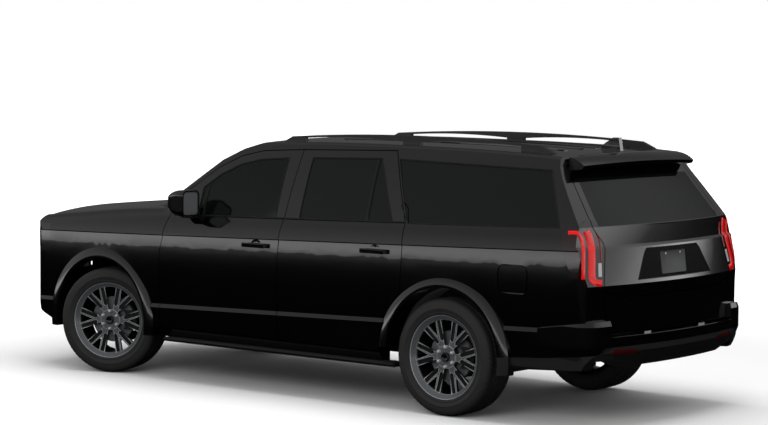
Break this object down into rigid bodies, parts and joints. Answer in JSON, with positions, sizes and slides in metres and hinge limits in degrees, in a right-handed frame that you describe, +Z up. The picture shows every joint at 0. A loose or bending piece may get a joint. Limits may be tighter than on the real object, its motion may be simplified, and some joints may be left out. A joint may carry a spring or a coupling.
{
  "type": "sport utility vehicle",
  "caption": "Long family SUV with hinged doors, bonnet, liftgate and drop gate, steered front wheels and a hollow cabin with seats.",
  "frame": {"origin": "on the ground under the middle of the vehicle", "axes": "+X forward, +Y to the left, +Z up"},
  "size_m": [5.628, 2.3806, 1.912],
  "materials": {
    "body_paint": "gloss",
    "side_glass": "gloss",
    "dark_glass": "gloss",
    "trim": "satin",
    "lamp_clear": "gloss",
    "lamp_red": "gloss",
    "chassis_black": "matte",
    "floor_carpet": "matte",
    "cabin_plastic": "matte",
    "seat_leather": "satin",
    "tyre": "matte",
    "wheel_alloy": "satin"
  },
  "bodies": {
    "body": {"body_pillars": "body_paint", "chassis_frame": "chassis_black", "cowl_panel": "trim", "dashboard": "cabin_plastic", "engine": "chassis_black", "exhaust": "chassis_black", "floor_pan": "floor_carpet", "front_bumper": "body_paint", "front_wings": "body_paint", "grille": "trim", "headlamps": "lamp_clear", "quarter_panels": "body_paint", "quarter_windows": "dark_glass", "rear_bumper": "body_paint", "rear_reflectors": "lamp_red", "rear_valance": "trim", "roof_panel": "body_paint", "roof_rails": "trim", "running_boards": "trim", "seats": "seat_leather", "sills": "body_paint", "suspension": "chassis_black", "tail_lamps": "lamp_red", "windscreen": "side_glass"},
    "front_left_door": {"front_left_door": "body_paint", "front_left_window": "side_glass", "left_mirror": "body_paint"},
    "front_right_door": {"front_right_door": "body_paint", "front_right_window": "side_glass", "right_mirror": "body_paint"},
    "rear_left_door": {"rear_left_door": "body_paint", "rear_left_window": "dark_glass"},
    "rear_right_door": {"rear_right_door": "body_paint", "rear_right_window": "dark_glass"},
    "bonnet": {"bonnet": "body_paint"},
    "liftgate": {"liftgate": "body_paint", "rear_window": "dark_glass"},
    "drop_gate": {"drop_gate": "body_paint"},
    "fuel_flap": {"fuel_flap": "body_paint"},
    "left_knuckle": {"left_knuckle": "chassis_black"},
    "right_knuckle": {"right_knuckle": "chassis_black"},
    "front_left_wheel": {"front_left_tyre": "tyre", "front_left_wheel": "wheel_alloy"},
    "front_right_wheel": {"front_right_tyre": "tyre", "front_right_wheel": "wheel_alloy"},
    "rear_left_wheel": {"rear_left_tyre": "tyre", "rear_left_wheel": "wheel_alloy"},
    "rear_right_wheel": {"rear_right_tyre": "tyre", "rear_right_wheel": "wheel_alloy"}
  },
  "joints": [
    {"name": "front_left_door_hinge", "type": "hinge", "parent": "body", "child": "front_left_door", "pos_m": [1.188, 0.997, 0.75], "axis": [0, 0, -1], "range_deg": [0, 66]},
    {"name": "front_right_door_hinge", "type": "hinge", "parent": "body", "child": "front_right_door", "pos_m": [1.188, -0.997, 0.75], "axis": [0, 0, 1], "range_deg": [0, 66]},
    {"name": "rear_left_door_hinge", "type": "hinge", "parent": "body", "child": "rear_left_door", "pos_m": [-0.0065, 1.009, 0.75], "axis": [0, 0, -1], "range_deg": [0, 68]},
    {"name": "rear_right_door_hinge", "type": "hinge", "parent": "body", "child": "rear_right_door", "pos_m": [-0.0065, -1.009, 0.75], "axis": [0, 0, 1], "range_deg": [0, 68]},
    {"name": "bonnet_hinge", "type": "hinge", "parent": "body", "child": "bonnet", "pos_m": [1.472, 0, 1.342], "axis": [0, -1, 0], "range_deg": [0, 50]},
    {"name": "liftgate_hinge", "type": "hinge", "parent": "body", "child": "liftgate", "pos_m": [-2.33, 0, 1.84], "axis": [0, 1, 0], "range_deg": [0, 85]},
    {"name": "drop_gate_hinge", "type": "hinge", "parent": "body", "child": "drop_gate", "pos_m": [-2.768, 0, 0.64], "axis": [0, -1, 0], "range_deg": [0, 90]},
    {"name": "fuel_flap_hinge", "type": "hinge", "parent": "body", "child": "fuel_flap", "pos_m": [-1.988, 0.9874, 0.985], "axis": [0, 0, -1], "range_deg": [0, 100]},
    {"name": "left_steering", "type": "hinge", "parent": "body", "child": "left_knuckle", "pos_m": [1.834, 0.818, 0.4076], "axis": [0, 0, 1], "range_deg": [-54, 16]},
    {"name": "right_steering", "type": "hinge", "parent": "body", "child": "right_knuckle", "pos_m": [1.834, -0.818, 0.4076], "axis": [0, 0, 1], "range_deg": [-54, 16]},
    {"name": "front_left_spin", "type": "hinge", "parent": "left_knuckle", "child": "front_left_wheel", "pos_m": [1.834, 0.818, 0.4076], "axis": [-0.3256, 0.9455, 0], "continuous": true},
    {"name": "front_right_spin", "type": "hinge", "parent": "right_knuckle", "child": "front_right_wheel", "pos_m": [1.834, -0.818, 0.4076], "axis": [-0.3256, 0.9455, 0], "continuous": true},
    {"name": "rear_left_spin", "type": "hinge", "parent": "body", "child": "rear_left_wheel", "pos_m": [-1.509, 0.854, 0.4076], "axis": [0, 1, 0], "continuous": true},
    {"name": "rear_right_spin", "type": "hinge", "parent": "body", "child": "rear_right_wheel", "pos_m": [-1.509, -0.854, 0.4076], "axis": [0, 1, 0], "continuous": true}
  ],
  "couplings": [
    {"joint": "right_steering", "follows": "left_steering", "ratio": 1}
  ]
}
